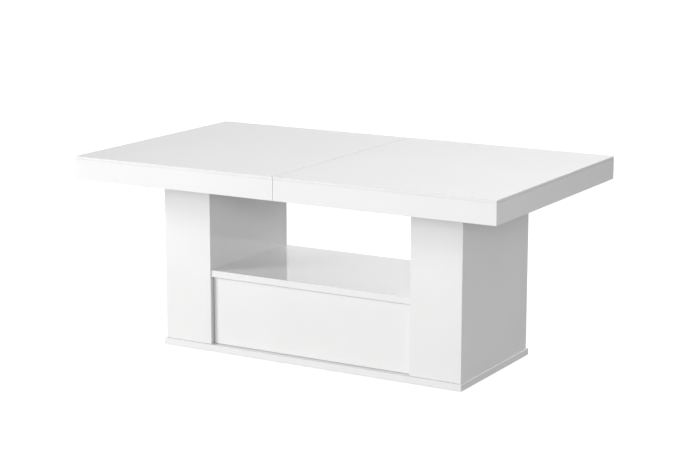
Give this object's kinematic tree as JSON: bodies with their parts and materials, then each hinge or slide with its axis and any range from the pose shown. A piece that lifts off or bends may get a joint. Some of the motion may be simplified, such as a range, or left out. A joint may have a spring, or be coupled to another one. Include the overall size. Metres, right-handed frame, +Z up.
{
  "type": "lift top coffee table",
  "caption": "Low extending coffee table: split rectangular top on two box pillars with telescopic lift columns, an open shelf and a handle-less drawer.",
  "frame": {"origin": "on the floor, under the middle of the closed top", "axes": "+X along the length of the top, to the right when facing the drawer; -Y is the drawer side; +Z up"},
  "size_m": [1.2, 0.7, 0.517],
  "materials": {
    "white_lacquer": "white high-gloss lacquer on board",
    "white_melamine": "white melamine facing, satin",
    "beech": "plain beech",
    "zinc_steel": "zinc plated, satin",
    "black_steel": "black powder coat",
    "chrome_rod": "hard chromed, polished",
    "aluminium": "natural anodised",
    "black_plastic": "matt black",
    "grey_plastic": "matt grey acetal",
    "rubber": "matt black"
  },
  "bodies": {
    "base": {"plinth_board": "white_lacquer", "plinth_screws": "zinc_steel", "plinth_glides": "rubber", "left_pillar_front_panel": "white_lacquer", "left_pillar_back_panel": "white_lacquer", "left_pillar_outer_panel": "white_lacquer", "left_pillar_inner_panel": "white_lacquer", "right_pillar_front_panel": "white_lacquer", "right_pillar_back_panel": "white_lacquer", "right_pillar_outer_panel": "white_lacquer", "right_pillar_inner_panel": "white_lacquer", "shelf_board": "white_lacquer", "compartment_back_panel": "white_lacquer", "shelf_dowels": "beech", "lift_stop_bumpers": "rubber", "pillar_guide_rails": "zinc_steel", "gas_spring_cylinders": "black_steel", "gas_spring_foot_brackets": "zinc_steel", "drawer_runner_cabinet_members": "zinc_steel", "push_latch_housing": "grey_plastic"},
    "lift": {"column_guide_rails": "zinc_steel", "left_column_panels": "white_lacquer", "right_column_panels": "white_lacquer", "column_top_plates": "white_melamine", "lift_frame_bolts": "zinc_steel", "lift_frame_long_tubes": "black_steel", "lift_frame_cross_bars": "black_steel", "gas_spring_rods": "chrome_rod", "gas_spring_release_heads": "aluminium", "release_paddle_bracket": "zinc_steel", "release_cables": "black_plastic", "extension_channels": "aluminium", "extension_leaf": "white_lacquer", "leaf_pegs": "beech", "sync_gear_bridge": "zinc_steel"},
    "guide_cages": {"guide_ball_cages": "zinc_steel"},
    "paddle": {"release_paddle": "black_plastic"},
    "levers": {"release_levers": "zinc_steel"},
    "release_pins": {"gas_spring_release_pins": "chrome_rod"},
    "top_left": {"left_top_board": "white_lacquer", "left_front_apron": "white_lacquer", "left_rear_apron": "white_lacquer", "left_end_apron": "white_lacquer", "left_extension_rails": "aluminium", "left_sync_rack": "grey_plastic"},
    "top_right": {"right_top_board": "white_lacquer", "right_front_apron": "white_lacquer", "right_rear_apron": "white_lacquer", "right_end_apron": "white_lacquer", "right_extension_rails": "aluminium", "right_sync_rack": "grey_plastic", "top_alignment_pegs": "beech"},
    "pinion": {"sync_pinion": "grey_plastic"},
    "drawer": {"drawer_front": "white_lacquer", "drawer_sides": "white_melamine", "drawer_back": "white_melamine", "drawer_bottom": "white_melamine", "drawer_runner_drawer_members": "zinc_steel"},
    "runner_middles": {"drawer_runner_middle_members": "zinc_steel"},
    "latch_plunger": {"push_latch_plunger": "black_plastic"}
  },
  "joints": [
    {"name": "lift_slide", "type": "slide", "parent": "base", "child": "lift", "axis": [0, 0, 1], "range_m": [0, 0.22]},
    {"name": "guide_cages_slide", "type": "slide", "parent": "base", "child": "guide_cages", "axis": [0, 0, 1], "range_m": [0, 0.1101]},
    {"name": "release_paddle_hinge", "type": "hinge", "parent": "lift", "child": "paddle", "pos_m": [0, -0.27, 0.469], "axis": [-1, 0, 0], "range_deg": [0, 17], "stiffness_Nm_per_rad": 0.4, "springref_deg": -14.32},
    {"name": "release_lever_hinge", "type": "hinge", "parent": "lift", "child": "levers", "pos_m": [0, -0.01, 0.47], "axis": [-1, 0, 0], "range_deg": [0, 15]},
    {"name": "release_pin_slide", "type": "slide", "parent": "lift", "child": "release_pins", "axis": [0, 0, -1], "range_m": [0, 0.0033]},
    {"name": "left_half_slide", "type": "slide", "parent": "lift", "child": "top_left", "axis": [-1, 0, 0], "range_m": [0, 0.25]},
    {"name": "right_half_slide", "type": "slide", "parent": "lift", "child": "top_right", "axis": [1, 0, 0], "range_m": [0, 0.2501]},
    {"name": "sync_pinion_spin", "type": "hinge", "parent": "lift", "child": "pinion", "pos_m": [0, 0.05, 0.4626], "axis": [0, 0, 1], "range_deg": [0, 1433]},
    {"name": "drawer_slide", "type": "slide", "parent": "base", "child": "drawer", "axis": [0, -1, 0], "range_m": [0, 0.27]},
    {"name": "runner_middles_slide", "type": "slide", "parent": "base", "child": "runner_middles", "axis": [0, -1, 0], "range_m": [0, 0.1351]},
    {"name": "latch_plunger_slide", "type": "slide", "parent": "base", "child": "latch_plunger", "axis": [0, 1, 0], "range_m": [0, 0.004], "stiffness_N_per_m": 400, "springref_m": -0.004}
  ],
  "couplings": [
    {"joint": "guide_cages_slide", "follows": "lift_slide", "ratio": 0.5},
    {"joint": "release_lever_hinge", "follows": "release_paddle_hinge", "ratio": 0.8718},
    {"joint": "release_pin_slide", "follows": "release_paddle_hinge", "m_per_rad": 0.011},
    {"joint": "right_half_slide", "follows": "left_half_slide", "ratio": 1},
    {"joint": "sync_pinion_spin", "follows": "left_half_slide", "rad_per_m": 100},
    {"joint": "runner_middles_slide", "follows": "drawer_slide", "ratio": 0.5}
  ]
}
